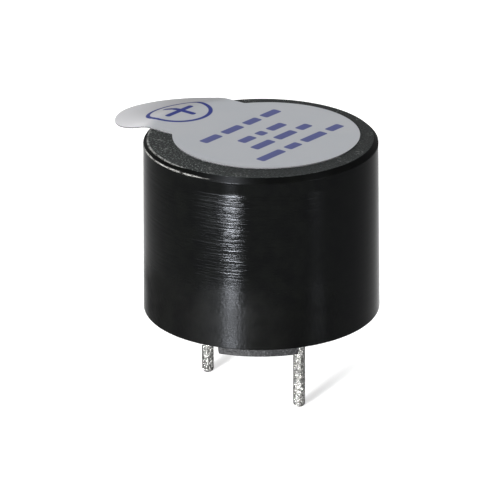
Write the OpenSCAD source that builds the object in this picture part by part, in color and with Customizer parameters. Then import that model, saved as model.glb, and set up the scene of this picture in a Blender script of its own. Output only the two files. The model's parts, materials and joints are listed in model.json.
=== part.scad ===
// Through-hole piezo buzzer with its own drive circuit, sealed for washing.
// The origin lies midway between the two leads, on the plane of the three feet
// that the buzzer stands on when it is soldered down. +Z is up, and +X runs
// from the positive lead to the negative one.

/* [Case] */
// Outer diameter at the rim
case_d = 12; // [11.6:0.1:16]
// Height from the rim to the top face
case_h = 9.1; // [8.5:0.1:14]
// Draft of the outer wall, in degrees
case_draft = 0.6; // [0:0.1:1.2]
// Width of the top edge's chamfer, across the top face
chamfer_w = 0.22; // [0.1:0.01:0.4]
// Depth of the top edge's chamfer, down the side
chamfer_h = 0.2; // [0.1:0.01:0.4]
// Chamfer round the outside of the rim
rim_chamfer = 0.08; // [0.02:0.01:0.2]
// Thickness of the top wall
top_t = 0.9; // [0.6:0.1:1.4]
// Thickness of the wall at the rim, round the circuit board
wall_t = 1; // [1:0.05:1.2]
// Diameter of the sound hole
sound_hole_d = 2; // [1:0.1:3]

/* [Feet] */
// Number of feet
foot_count = 3; // [3:1:4]
// Height of a foot below the rim
foot_h = 0.5; // [0.3:0.05:1]
// Width of a foot along the rim
foot_w = 4.05; // [2:0.05:4.5]
// Thickness of a foot across the rim
foot_t = 0.45; // [0.3:0.05:0.5]
// How far a foot's outer face lies inside the rim's outer edge
foot_setback = 0.45; // [0.2:0.05:0.45]
// Radius of a foot's lower corners
foot_corner_r = 0.3; // [0.1:0.05:0.3]
// Direction of the first foot from the case's axis, in degrees
foot_turn = -47.6; // [-90:0.1:0]

/* [Leads] */
// Distance between the leads
lead_pitch = 6.5; // [5:0.1:7]
// Diameter of a lead
lead_d = 0.6; // [0.5:0.05:0.8]
// Length of a lead below the feet
lead_l = 3.9; // [2:0.1:12]
// Distance from the line through the leads to the case's axis
lead_offset = 0.65; // [0:0.05:0.8]
// Rounding of a lead's tip
lead_tip_r = 0.2; // [0.1:0.05:0.2]
// Thickness of the tin that was dipped on a lead, below the resin
tin_t = 0.02; // [0.01:0.01:0.04]

/* [Seal label] */
// Diameter of the label's disc
label_d = 9.1; // [7:0.1:9.5]
// Thickness of the label
label_t = 0.06; // [0.05:0.01:0.2]
// How far the disc lies off the case's axis, along X
label_x = 0.26; // [-0.3:0.01:0.3]
// How far the disc lies off the case's axis, along Y
label_y = 0.33; // [-0.4:0.01:0.4]
// Direction that the tab points in, in degrees
tab_turn = 184.6; // [170:0.1:190]
// Width of the tab
tab_w = 5.76; // [5:0.02:6.4]
// How far the tab's middle line lies beside the disc's centre
tab_shift = -0.1; // [-0.3:0.05:0.3]
// Length of the tab, from the disc's centre to the tab's tip
tab_l = 9.65; // [8:0.05:12]
// Length of the tab's rounded end
tab_round = 3.45; // [3.3:0.05:4.2]
// Radius of the tab's nose
tab_nose_r = 2.2; // [1.9:0.05:2.4]
// Fillet between the tab and the disc
tab_fillet = 0.25; // [0.1:0.05:0.6]
// Slope of the tab beyond the case's top face, in degrees
tab_droop = 12.5; // [0:0.5:30]

/* [Bender] */
// Depth of the chamber between the top wall and the bender
front_h = 0.9; // [0.5:0.1:1.5]
// Width of the ledge that the bender is glued to
ledge_w = 0.45; // [0.3:0.05:0.7]
// Thickness of the brass plate
plate_t = 0.15; // [0.1:0.01:0.25]
// Thickness of the ceramic disc
ceramic_t = 0.15; // [0.1:0.01:0.25]
// Brass left bare round the ceramic disc
plate_margin = 1.2; // [1.2:0.05:1.4]
// Ceramic left bare round the electrode
ceramic_margin = 0.3; // [0.2:0.05:0.5]
// Thickness of the silver electrodes
silver_t = 0.03; // [0.02:0.01:0.05]
// Width of the feedback electrode
tongue_w = 1.4; // [1.2:0.1:1.8]
// Distance from the axis to the centre of the feedback electrode's round end
tongue_in = 0.8; // [0.6:0.05:1]
// Gap between the two electrodes
tongue_gap = 0.25; // [0.15:0.05:0.4]
// Direction of the feedback electrode from the case's axis, in degrees
tongue_turn = -55; // [-90:1:0]
// Height of the glue bead under the bender's edge
glue_h = 0.45; // [0.3:0.05:0.8]
// Width of the glue bead under the bender's edge
glue_w = 0.4; // [0.3:0.05:0.4]

/* [Circuit board] */
// Thickness of the board
board_t = 0.8; // [0.6:0.1:1.2]
// Width of the ledge that the board is pushed against
board_ledge = 0.3; // [0.2:0.05:0.4]
// Thickness of the copper
copper_t = 0.05; // [0.03:0.01:0.08]
// Width of a track
track_w = 0.25; // [0.2:0.05:0.35]
// Clearance round what is dropped into the case
drop_clear = 0.05; // [0.02:0.01:0.1]
// Clearance of a lead in its hole in the board
lead_clear = 0.1; // [0.05:0.01:0.15]
// Width of a lead's copper ring
ring_w = 0.45; // [0.3:0.05:0.5]
// Copper left bare round a pad's part, and round the solder on a lead's ring
pad_margin = 0.1; // [0.05:0.01:0.12]
// Copper left bare round a wire's solder dot on the board
dot_margin = 0.14; // [0.13:0.01:0.18]
// How far the centres of the wires' pads lie inside the bender's bore
pad_inset = 0.8; // [0.7:0.05:0.9]
// Gap between a chip and the solder beside it
part_gap = 0.2; // [0.15:0.05:0.25]
// How far a lead stands through the board
lead_stub = 0.6; // [0.4:0.1:1]
// Length of a lead's inner end that stands out of its solder
stub_bare = 0.15; // [0.1:0.05:0.2]
// Thickness of the solder at its upper edge, round a lead
solder_lip = 0.05; // [0.02:0.01:0.1]

/* [Sealing resin] */
// Depth of the resin under the board
resin_h = 1.3; // [0.8:0.1:2]
// How far the resin lies inside the rim
resin_recess = 0.4; // [0.35:0.05:0.8]
// Size of the fillet where the resin climbs the wall
resin_climb = 0.25; // [0.2:0.05:0.3]

/* [Small parts] */
// Diameter of a bender wire over its insulation
wire_d = 0.28; // [0.2:0.02:0.34]
// Bend radius of a bender wire
wire_bend = 0.5; // [0.4:0.05:0.6]
// Radius of a solder dot
dot_r = 0.36; // [0.3:0.02:0.38]
// Height of a solder dot
dot_h = 0.25; // [0.2:0.02:0.3]
// How far below the bender the drive and ground wires cross
low_drop = 2.25; // [2.1:0.05:2.3]
// How far below the bender the feedback wire crosses
high_drop = 1.65; // [1.2:0.05:1.7]
// Length of a chip resistor
chip_l = 1.6; // [1.4:0.1:1.8]
// Width of a chip resistor
chip_w = 0.8; // [0.6:0.05:0.9]
// Height of a chip resistor
chip_h = 0.5; // [0.3:0.05:0.7]
// Length of the chip capacitor
cap_l = 2; // [1.6:0.1:2.2]
// Width of the chip capacitor
cap_w = 1.25; // [0.8:0.05:1.4]
// Height of the chip capacitor
cap_h = 0.8; // [0.5:0.05:1]
// Length of a chip's end cap
end_cap_l = 0.3; // [0.2:0.05:0.35]
// Length of the transistor's body
body_l = 2.9; // [2.7:0.05:3.1]
// Width of the transistor's body
body_w = 1.3; // [1.2:0.05:1.4]
// Height of the transistor's body
body_h = 1; // [0.9:0.05:1.05]
// Slope of the transistor body's sides, in degrees
transistor_draft = 7; // [0:1:10]
// Height of the transistor's body above the copper
transistor_lift = 0.1; // [0.05:0.01:0.15]
// Width of a transistor leg
leg_w = 0.4; // [0.3:0.05:0.45]
// Thickness of a transistor leg
leg_t = 0.12; // [0.1:0.01:0.15]
// Reach of the legs, from toe to toe
leg_span = 2.4; // [2.2:0.1:2.6]
// Length of a leg's toe on the copper
leg_toe = 0.35; // [0.3:0.05:0.45]
// Distance between the two legs on one side
leg_pitch = 1.9; // [1.8:0.1:2]

/* [Hidden] */

$fn = 96;
small_fn = 48;    // facets of what is under a millimetre across
lap = 1;          // how far a cutting shape runs past what it cuts
blend = 0.005;    // how far arcs that meet smoothly run into each other
root = 0.2;       // how far a foot's root reaches into the rim
tip_sink = 0.12;  // how far a wire's end goes into its solder

// Heights
rim_z = foot_h;
top_z = rim_z + case_h;
ceiling_z = top_z - top_t;
bender_z = ceiling_z - front_h;
resin_z = rim_z + resin_recess;
board_z = resin_z + resin_h;
deck_z = board_z + board_t;
copper_z = deck_z + copper_t;
ceramic_z = bender_z - plate_t;
silver_z = ceramic_z - ceramic_t;
dot_z = silver_z - silver_t;

// Radii about the case's axis
rim_r = case_d / 2;
wall_top_r = rim_r - case_h * tan(case_draft);
top_r = wall_top_r - chamfer_w;
board_bore_r = rim_r - wall_t;
bender_bore_r = board_bore_r - board_ledge;
front_r = bender_bore_r - ledge_w;
board_r = board_bore_r - drop_clear;
plate_r = bender_bore_r - drop_clear;
ceramic_r = plate_r - plate_margin;
silver_r = ceramic_r - ceramic_margin;

// Leads, seen from the case's axis
lead_r = lead_d / 2;
core_r = lead_r - tin_t;
lead_hole_r = core_r + lead_clear;
positive_at = [-lead_pitch / 2, -lead_offset];
negative_at = [lead_pitch / 2, -lead_offset];
cone_r = lead_hole_r + ring_w - pad_margin;
cone_h = lead_stub - copper_t - stub_bare;

// Sizes of the parts on the board: [length, width, height]
chip = [chip_l, chip_w, chip_h];
cap_chip = [cap_l, cap_w, cap_h];

// Wire ends: on the board, and on the bender, each as a distance and a
// direction from the case's axis
function polar(r, turn) = r * [cos(turn), sin(turn)];
wire_pad_r = bender_bore_r - pad_inset;
drive_pad = polar(wire_pad_r, 78);
drive_tip = polar(1.4, 135);
feedback_pad = polar(wire_pad_r, 247);
feedback_tip = polar(1.9, tongue_turn);
ground_pad = polar(wire_pad_r, 20);
ground_tip = polar(plate_r - plate_margin / 2 - glue_w / 2, 55);
low_level = dot_z - low_drop;
high_level = dot_z - high_drop;

// Places on the board: [x, y, turn] from the case's axis
transistor_at = [0, 1.5, 0];
load_at = [-2.35, 2.35, 45];
bias_at = [positive_at[0] + lead_hole_r + ring_w + part_gap + chip_l / 2, -lead_offset, 0];
feedback_at = [-1.1, feedback_pad[1] + dot_r + part_gap + chip_l / 2, 90];
supply_at = [1.3, feedback_at[1], 0];
supply_corner = [-2.3, supply_at[1]];     // where the supply track turns to its lead

base_leg = [transistor_at[0] - leg_pitch / 2, transistor_at[1] - leg_span / 2 + leg_toe / 2];
emitter_leg = [transistor_at[0] + leg_pitch / 2, base_leg[1]];
collector_leg = [transistor_at[0], transistor_at[1] + leg_span / 2 - leg_toe / 2];

// Where a chip's end stands on the board: side is 1 or -1
function chip_end(at, size, side) =
    [at[0], at[1]] + side * (size[0] - end_cap_l) / 2 * [cos(at[2]), sin(at[2])];

function chips() = [[load_at, chip], [bias_at, chip], [feedback_at, chip], [supply_at, cap_chip]];

// Everything inside the case is placed from the case's axis.
module at_axis() {
    translate([0, lead_offset, 0]) children();
}

module at_place(at, z) {
    translate([at[0], at[1], z]) rotate(at[2]) children();
}

// ---- Case ----

module case_profile() {
    polygon([
        [0, ceiling_z], [front_r, ceiling_z], [front_r, bender_z],
        [bender_bore_r, bender_z], [bender_bore_r, deck_z],
        [board_bore_r, deck_z], [board_bore_r, rim_z],
        [rim_r - rim_chamfer, rim_z], [rim_r, rim_z + rim_chamfer],
        [wall_top_r, top_z - chamfer_h], [top_r, top_z], [0, top_z]
    ]);
}

// A foot's face, as seen from outside, with round lower corners and its root.
module foot_face() {
    r = foot_corner_r;
    translate([-foot_w / 2, r]) square([foot_w, foot_h + root - r]);
    translate([-foot_w / 2 + r, 0]) square([foot_w - 2 * r, foot_h]);
    for (side = [-1, 1])
        translate([side * (foot_w / 2 - r), r]) circle(r);
}

// The foot follows the rim, so its faces are curved about the case's axis.
module foot(turn) {
    outer = rim_r - foot_setback;
    rotate(turn) intersection() {
        difference() {
            cylinder(r = outer, h = foot_h + root);
            translate([0, 0, -lap]) cylinder(r = outer - foot_t, h = foot_h + root + 2 * lap);
        }
        rotate([90, 0, 90]) linear_extrude(rim_r) foot_face();
    }
}

module case() {
    color("#1b1b1c") at_axis() {
        difference() {
            rotate_extrude() case_profile();
            translate([0, 0, ceiling_z - lap])
                cylinder(d = sound_hole_d, h = top_t + 2 * lap);
        }
        for (i = [0 : foot_count - 1])
            foot(foot_turn + i * 360 / foot_count);
    }
}

// ---- Seal label ----

// The tab's end: two flank arcs that run on from the straight edges, and a
// nose arc tangent to both.
module tab_end() {
    half = tab_w / 2;
    flank_r = (pow(tab_round, 2) + pow(half, 2) - 2 * tab_round * tab_nose_r) / (2 * (half - tab_nose_r));
    nose_u = tab_round - tab_nose_r;
    meet = atan2(flank_r - half, nose_u);
    intersection() {
        translate([0, half - flank_r]) circle(flank_r);
        translate([0, flank_r - half]) circle(flank_r);
        translate([0, -half]) square([nose_u + tab_nose_r * cos(meet), tab_w]);
    }
    translate([nose_u, 0]) circle(tab_nose_r + blend);
}

// The fillet in the corner between the disc and the edge of the tab at side_v.
module corner_fill(side_v) {
    disc_r = label_d / 2;
    edge_v = side_v + tab_fillet;
    edge_u = sqrt(pow(disc_r + tab_fillet, 2) - pow(edge_v, 2));
    difference() {
        polygon([[0, 0], [edge_u, side_v], [edge_u, edge_v]]);
        translate([edge_u, edge_v]) circle(tab_fillet + blend);
    }
}

module label_outline() {
    straight = tab_l - tab_round;
    circle(d = label_d);
    translate([0, tab_shift - tab_w / 2]) square([straight, tab_w]);
    translate([straight, tab_shift]) tab_end();
    corner_fill(tab_w / 2 + tab_shift);
    mirror([0, 1]) corner_fill(tab_w / 2 - tab_shift);
}

// The film lies flat on the case, and falls away as a cone from the edge of
// the top face outwards.
module film() {
    reach = tab_l + case_d;
    fall = [cos(tab_droop), -sin(tab_droop)];
    out = [sin(tab_droop), cos(tab_droop)];
    bend = [top_r, top_z];
    rotate_extrude() polygon([
        [0, top_z], bend, bend + reach * fall,
        bend + reach * fall + label_t * out,
        [top_r + label_t * tan(tab_droop / 2), top_z + label_t], [0, top_z + label_t]
    ]);
}

module seal_label() {
    color("#c4c6c9") at_axis() intersection() {
        film();
        translate([label_x, label_y, -lap]) rotate(tab_turn)
            linear_extrude(top_z + 3 * lap) label_outline();
    }
}

// ---- Bender ----

module bender_plate() {
    color("#c8a24a") at_axis() translate([0, 0, ceramic_z])
        cylinder(r = plate_r, h = plate_t);
}

module piezo_ceramic() {
    color("#d9d2b8") at_axis() translate([0, 0, silver_z])
        cylinder(r = ceramic_r, h = ceramic_t);
}

// The feedback electrode's outline, made larger all round by grow.
module tongue(grow) {
    rotate(tongue_turn) {
        translate([tongue_in, 0]) circle(tongue_w / 2 + grow);
        translate([tongue_in, -tongue_w / 2 - grow]) square([case_d, tongue_w + 2 * grow]);
    }
}

module drive_electrode() {
    color("#d8dadd") at_axis() translate([0, 0, dot_z])
        linear_extrude(silver_t) difference() {
            circle(silver_r);
            tongue(tongue_gap);
        }
}

module feedback_electrode() {
    color("#c9ccd0") at_axis() translate([0, 0, dot_z])
        linear_extrude(silver_t) intersection() {
            circle(silver_r);
            tongue(0);
        }
}

// Silicone that holds the bender's edge in its seat, as a fillet below it and
// a skin beside it.
module bender_glue() {
    color("#e6e3dc") at_axis() rotate_extrude() polygon([
        [plate_r, bender_z], [bender_bore_r, bender_z],
        [bender_bore_r, ceramic_z - glue_h], [plate_r - glue_w, ceramic_z],
        [plate_r, ceramic_z]
    ]);
}

// ---- Wires ----

// A wire that rises from the board, crosses at one level and rises again to
// the bender, with two round bends. It lies in one upright plane.
module wire(pad, tip, level) {
    run = norm(tip - pad);
    bottom = copper_z + dot_h - tip_sink;
    top = dot_z - dot_h + tip_sink;
    translate([pad[0], pad[1], 0]) rotate(atan2(tip[1] - pad[1], tip[0] - pad[0])) {
        translate([0, 0, bottom]) wire_rod(level - wire_bend - bottom);
        wire_turn(wire_bend, level - wire_bend, 90);
        translate([wire_bend, 0, level]) rotate([0, 90, 0]) wire_rod(run - 2 * wire_bend);
        wire_turn(run - wire_bend, level + wire_bend, 270);
        translate([run, 0, level + wire_bend]) wire_rod(top - level - wire_bend);
    }
}

module wire_rod(length) {
    cylinder(d = wire_d, h = length, $fn = small_fn);
}

// A quarter turn in the XZ plane about (x, z), from the angle start onwards.
module wire_turn(x, z, start) {
    translate([x, 0, z]) rotate([90, 0, 0]) rotate(start)
        rotate_extrude(angle = 90, $fn = small_fn) translate([wire_bend, 0])
            circle(d = wire_d, $fn = small_fn);
}

module drive_wire() {
    color("#b3231f") at_axis() wire(drive_pad, drive_tip, low_level);
}

module feedback_wire() {
    color("#2455a8") at_axis() wire(feedback_pad, feedback_tip, high_level);
}

module ground_wire() {
    color("#222222") at_axis() wire(ground_pad, ground_tip, low_level);
}

// A cap of a sphere that stands on z = 0.
module dot() {
    r = (pow(dot_r, 2) + pow(dot_h, 2)) / (2 * dot_h);
    intersection() {
        translate([0, 0, dot_h - r]) sphere(r);
        cylinder(r = dot_r + lap, h = dot_h);
    }
}

// Solder on the bender, hanging from the electrodes and from the bare brass.
module bender_solder() {
    color("#b9bcc0") at_axis() {
        difference() {
            translate([drive_tip[0], drive_tip[1], dot_z]) mirror([0, 0, 1]) dot();
            wire(drive_pad, drive_tip, low_level);
        }
        difference() {
            translate([feedback_tip[0], feedback_tip[1], dot_z]) mirror([0, 0, 1]) dot();
            wire(feedback_pad, feedback_tip, high_level);
        }
        difference() {
            translate([ground_tip[0], ground_tip[1], dot_z]) union() {
                mirror([0, 0, 1]) dot();
                cylinder(r = dot_r, h = ceramic_z - dot_z);
            }
            wire(ground_pad, ground_tip, low_level);
        }
    }
}

module board_wire_solder() {
    color("#b9bcc0") at_axis() {
        difference() {
            translate([drive_pad[0], drive_pad[1], copper_z]) dot();
            wire(drive_pad, drive_tip, low_level);
        }
        difference() {
            translate([feedback_pad[0], feedback_pad[1], copper_z]) dot();
            wire(feedback_pad, feedback_tip, high_level);
        }
        difference() {
            translate([ground_pad[0], ground_pad[1], copper_z]) dot();
            wire(ground_pad, ground_tip, low_level);
        }
    }
}

// ---- Circuit board ----

module circuit_board() {
    color("#3d6b3a") at_axis() difference() {
        translate([0, 0, board_z]) cylinder(r = board_r, h = board_t);
        for (at = [positive_at, negative_at])
            translate([at[0], at[1], board_z - lap])
                cylinder(r = lead_hole_r, h = board_t + 2 * lap);
    }
}

// A track through the given points, with round corners.
module track(points) {
    for (i = [0 : len(points) - 2]) {
        step = points[i + 1] - points[i];
        translate(points[i]) rotate(atan2(step[1], step[0]))
            translate([0, -track_w / 2]) square([norm(step), track_w]);
    }
    for (p = points) translate(p) circle(d = track_w, $fn = small_fn);
}

module chip_pads(at, size) {
    for (side = [-1, 1])
        translate(chip_end(at, size, side)) rotate(at[2])
            square([end_cap_l + 2 * pad_margin, size[1] + 2 * pad_margin], center = true);
}

module copper_outline() {
    for (at = [positive_at, negative_at]) translate(at) circle(lead_hole_r + ring_w);
    for (c = chips()) chip_pads(c[0], c[1]);
    for (p = [base_leg, emitter_leg, collector_leg])
        translate(p) square([leg_w + 2 * pad_margin, leg_toe + 2 * pad_margin], center = true);
    for (p = [drive_pad, feedback_pad, ground_pad])
        translate(p) circle(dot_r + dot_margin);
    track([positive_at, chip_end(load_at, chip, -1)]);
    track([chip_end(load_at, chip, 1), collector_leg]);
    track([collector_leg, drive_pad]);
    track([positive_at, chip_end(bias_at, chip, -1)]);
    track([chip_end(bias_at, chip, 1), base_leg]);
    track([chip_end(bias_at, chip, 1), chip_end(feedback_at, chip, 1)]);
    track([chip_end(feedback_at, chip, -1), feedback_pad]);
    track([chip_end(supply_at, cap_chip, -1), supply_corner, positive_at]);
    track([chip_end(supply_at, cap_chip, 1), negative_at]);
    track([emitter_leg, negative_at]);
    track([negative_at, ground_pad]);
}

module board_copper() {
    color("#b9733c") at_axis() translate([0, 0, deck_z])
        linear_extrude(copper_t) difference() {
            copper_outline();
            for (at = [positive_at, negative_at]) translate(at) circle(lead_hole_r);
        }
}

// ---- Transistor ----

// A side view of the body: widest at the parting line, and drawn in above
// and below it.
module body_side(width, height) {
    half = width / 2;
    mid = height / 2;
    tip = half - mid * tan(transistor_draft);
    polygon([[-tip, 0], [tip, 0], [half, mid], [tip, height], [-tip, height], [-half, mid]]);
}

module transistor_body() {
    color("#2b2b2d") at_axis() at_place(transistor_at, copper_z + transistor_lift)
        intersection() {
            rotate([90, 0, 0]) linear_extrude(body_w + lap, center = true)
                body_side(body_l, body_h);
            rotate([90, 0, 90]) linear_extrude(body_l + lap, center = true)
                body_side(body_w, body_h);
        }
}

// One leg, out of the side at the parting line, down, and out along the copper.
module leg() {
    start = body_w / 2;
    toe = leg_span / 2;
    knee = toe - leg_toe;
    rise = transistor_lift + body_h / 2;
    rotate([90, 0, 90]) linear_extrude(leg_w, center = true) {
        translate([start, rise - leg_t / 2]) square([knee - start + leg_t, leg_t]);
        translate([knee, 0]) square([leg_t, rise + leg_t / 2]);
        translate([knee, 0]) square([leg_toe, leg_t]);
    }
}

module transistor_legs() {
    color("#c4c7ca") at_axis() at_place(transistor_at, copper_z) difference() {
        union() {
            leg();
            for (side = [-1, 1])
                translate([side * leg_pitch / 2, 0, 0]) rotate(180) leg();
        }
        translate([0, 0, transistor_lift]) rotate([90, 0, 90])
            linear_extrude(body_l + lap, center = true)
                body_side(body_w, body_h);
    }
}

// ---- Chip parts ----

module chip_body(at, size) {
    at_axis() at_place(at, copper_z + size[2] / 2)
        cube([size[0] - 2 * end_cap_l, size[1], size[2]], center = true);
}

module load_resistor() {
    color("#27292c") chip_body(load_at, chip);
}

module bias_resistor() {
    color("#27292c") chip_body(bias_at, chip);
}

module feedback_resistor() {
    color("#27292c") chip_body(feedback_at, chip);
}

module supply_capacitor() {
    color("#b08a5c") chip_body(supply_at, cap_chip);
}

module chip_end_caps() {
    color("#c4c7ca") at_axis() for (c = chips(), side = [-1, 1])
        translate([0, 0, copper_z + c[1][2] / 2]) translate(chip_end(c[0], c[1], side))
            rotate(c[0][2]) cube([end_cap_l, c[1][1], c[1][2]], center = true);
}

// ---- Leads and resin ----

// A straight wire lead with a rounded tip, soldered into the board. The part
// that stands out of the resin was dipped in tin, so it is a little thicker.
module lead(at) {
    tip_z = lead_tip_r - lead_l;
    translate([at[0], at[1], 0]) rotate_extrude() {
        translate([0, tip_z]) square([lead_r, resin_z - tip_z]);
        translate([0, -lead_l]) square([lead_r - lead_tip_r, lead_l]);
        square([core_r, deck_z + lead_stub]);
        intersection() {
            translate([lead_r - lead_tip_r, tip_z]) circle(lead_tip_r);
            translate([0, -lead_l]) square([lead_r, lead_l]);
        }
    }
}

module positive_lead() {
    color("#c9cbce") at_axis() lead(positive_at);
}

module negative_lead() {
    color("#c9cbce") at_axis() lead(negative_at);
}

module lead_solder() {
    color("#b9bcc0") at_axis() for (at = [positive_at, negative_at])
        translate([at[0], at[1], copper_z]) difference() {
            cylinder(r1 = cone_r, r2 = core_r + solder_lip, h = cone_h);
            translate([0, 0, -lap]) cylinder(r = core_r, h = cone_h + 2 * lap);
        }
}

// Resin poured in from below. It climbs the wall a little, in a small fillet.
module sealing_resin() {
    color("#3a3a3d") at_axis() difference() {
        rotate_extrude() difference() {
            translate([0, resin_z - resin_climb])
                square([board_bore_r, resin_h + resin_climb]);
            translate([board_bore_r - resin_climb, resin_z - resin_climb]) circle(resin_climb);
            translate([0, resin_z - 2 * resin_climb])
                square([board_bore_r - resin_climb, 2 * resin_climb]);
        }
        for (at = [positive_at, negative_at])
            translate([at[0], at[1], resin_z - lap]) cylinder(r = core_r, h = resin_h + 2 * lap);
    }
}

case();
seal_label();
bender_plate();
piezo_ceramic();
drive_electrode();
feedback_electrode();
bender_glue();
drive_wire();
feedback_wire();
ground_wire();
bender_solder();
board_wire_solder();
circuit_board();
board_copper();
transistor_body();
transistor_legs();
load_resistor();
bias_resistor();
feedback_resistor();
supply_capacitor();
chip_end_caps();
positive_lead();
negative_lead();
lead_solder();
sealing_resin();
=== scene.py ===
import json
import math

import bmesh
import bpy
from mathutils import Matrix, Vector


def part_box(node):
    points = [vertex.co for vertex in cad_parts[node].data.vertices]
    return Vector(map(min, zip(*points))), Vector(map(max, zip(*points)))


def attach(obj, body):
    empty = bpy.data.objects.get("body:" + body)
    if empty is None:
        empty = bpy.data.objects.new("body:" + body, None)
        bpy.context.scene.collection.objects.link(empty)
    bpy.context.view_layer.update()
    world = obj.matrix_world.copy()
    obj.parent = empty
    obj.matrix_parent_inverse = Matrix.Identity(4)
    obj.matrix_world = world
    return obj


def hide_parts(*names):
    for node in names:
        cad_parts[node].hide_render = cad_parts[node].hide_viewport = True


# A sealed buzzer for a circuit board: a round black moulding on two tinned
# leads, with a peel-off film over its sound hole. Shapes are modelled in
# millimetres and scaled to metres when each one is finished.

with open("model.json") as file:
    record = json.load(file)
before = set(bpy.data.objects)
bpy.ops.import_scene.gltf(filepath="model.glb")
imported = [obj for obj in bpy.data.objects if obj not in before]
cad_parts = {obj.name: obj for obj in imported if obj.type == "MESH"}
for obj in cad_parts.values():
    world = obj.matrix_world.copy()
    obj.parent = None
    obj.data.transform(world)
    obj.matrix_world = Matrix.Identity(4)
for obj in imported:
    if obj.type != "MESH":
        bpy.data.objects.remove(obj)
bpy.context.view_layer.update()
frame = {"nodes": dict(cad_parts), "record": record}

MM = 0.001


# ---- Sizes read from the frame, in millimetres ----

def box_mm(node):
    low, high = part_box(node)
    return low / MM, high / MM


case_low, case_high = box_mm("case")
film_high = box_mm("seal_label")[1]
plus_low, plus_high = box_mm("positive_lead")
minus_low, minus_high = box_mm("negative_lead")
resin_low, resin_high = box_mm("sealing_resin")

# The case's upright axis, which lies off the middle between the two leads.
AXIS = Vector(((case_low.x + case_high.x) / 2, (case_low.y + case_high.y) / 2, 0))
CASE_R = (case_high.x - case_low.x) / 2
TOP_Z = case_high.z
FILM_T = film_high.z - TOP_Z
LEAD_R = (plus_high.x - plus_low.x) / 2
LEAD_TIP_Z = plus_low.z
LEAD_TOP_Z = plus_high.z
LEAD_X = (minus_high.x + minus_low.x) / 2
RESIN_TOP_Z = resin_high.z
BORE_R = (resin_high.x - resin_low.x) / 2
FLOOR_Z = LEAD_TIP_Z


# ---- Sizes of the replaced pieces, in millimetres ----

# Case
RIM_Z = 0.5                 # the rim's lower edge, above the feet
RIM_CHAMFER = 0.08
WALL_TOP_R = 5.905          # the drafted wall, where the top chamfer starts
TOP_R = 5.685               # edge of the flat top
CHAMFER_H = 0.2
CHAMFER_Z = TOP_Z - CHAMFER_H
SOUND_HOLE_R = 1.0
CEILING_Z = 8.7
SEAT_Z = 7.8                # where the bender sits
SEAT_R = 4.25
BENDER_BORE_R = 4.7
LEDGE_Z = 3.0               # where the board sits
EDGE_ROUND = 0.045          # the mould's radius on the outer edges
EDGE_STEPS = 4

# Feet
FOOT_OUTER_R = 5.55
FOOT_INNER_R = 5.1
FOOT_W = 4.05
FOOT_ROOT = 0.2             # how far a foot runs up into the rim
FOOT_CORNER_R = 0.42
FOOT_CORNER_STEPS = 8
FOOT_STEPS = 32
FOOT_LAP = math.radians(2)  # how far it is spun past its ends, before they are cut
FOOT_TURNS = (-47.6, 72.4, 192.4)

# Seal film
FILM_X = 0.024              # the disc's middle, off the case's axis
FILM_Y = 0.372
DISC_R = 4.717
TAB_TURN = math.radians(184.8)
TAB_W = 5.7
TAB_L = 9.39                # from the disc's middle to the tip
TAB_ROUND = 3.47            # length of the tab's rounded end
TAB_NOSE_R = 1.8
TAB_FILLET = 0.25
TAB_DROOP = 0.334           # how far it falls, for each millimetre past the edge
TAB_BEND = 0.64             # how far past the edge it has bent that much
TAB_CURL = -0.0275          # how fast that changes
TAB_TWIST = 0.014           # more droop towards one edge, for each millimetre
FILM_EDGE_R = 0.026
FILM_EDGE_STEPS = 2
DISC_STEPS = 180
FLANK_STEPS = 24
NOSE_STEPS = 32
FILLET_STEPS = 6
FILM_PITCH = 0.3            # between the rows of points that let the film bend
FILM_SMOOTH = 12            # degrees, so that the rim stays crisp

# Sealing resin
RESIN_FACE_Z = 0.9
RESIN_CLIMB = 0.25          # how far it creeps down the wall towards the rim
RESIN_STEPS = 6             # facets across that curve

# Leads
LEAD_TIP_ROUND = 0.2
LEAD_TIP_STEPS = 8
LEAD_CORE_R = 0.28          # the bare wire above the resin's face
LEAD_STEPS = 48
LEAD_RINGS = 79             # rings of points along the lead
LEAD_RING_PITCH = 0.055
LEAD_SMOOTH = 60

TURN_STEPS = 240            # facets round a turned piece
SMOOTH = 35                 # degrees between two facets that still look smooth
MERGE = 0.0005              # points nearer than this are one


# ---- Modelling helpers ----

def start_clean():
    if bpy.context.object and bpy.context.object.mode != "OBJECT":
        bpy.ops.object.mode_set(mode="OBJECT")
    bpy.ops.object.select_all(action="DESELECT")


def edit_mode():
    bpy.ops.object.mode_set(mode="EDIT")


def object_mode():
    bpy.ops.object.mode_set(mode="OBJECT")


def select_all():
    bpy.ops.mesh.select_mode(type="VERT")
    bpy.ops.mesh.select_all(action="SELECT")


def pick(kind, test):
    """Selects only the vertices, edges or faces of the edited mesh that pass
    the test, and says how many they are."""
    bpy.ops.mesh.select_mode(type=kind)
    bpy.ops.mesh.select_all(action="DESELECT")
    data = bpy.context.object.data
    shape = bmesh.from_edit_mesh(data)
    elements = {"VERT": shape.verts, "EDGE": shape.edges, "FACE": shape.faces}[kind]
    chosen = [e for e in elements if test(e)]
    for element in chosen:
        element.select_set(True)
    shape.select_flush_mode()
    bmesh.update_edit_mesh(data)
    return len(chosen)


def pick_places(places):
    def near(vert):
        return any((vert.co - place).length < MERGE for place in places)
    return pick("VERT", near)


def move_points(rule):
    """Moves every vertex of the edited mesh to where the rule puts it."""
    data = bpy.context.object.data
    shape = bmesh.from_edit_mesh(data)
    for vert in shape.verts:
        vert.co = rule(vert.co)
    bmesh.update_edit_mesh(data)


def close_up():
    """Merges doubles, then turns every face outwards."""
    select_all()
    bpy.ops.mesh.remove_doubles(threshold=MERGE)
    bpy.ops.mesh.normals_make_consistent(inside=False)


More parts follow.
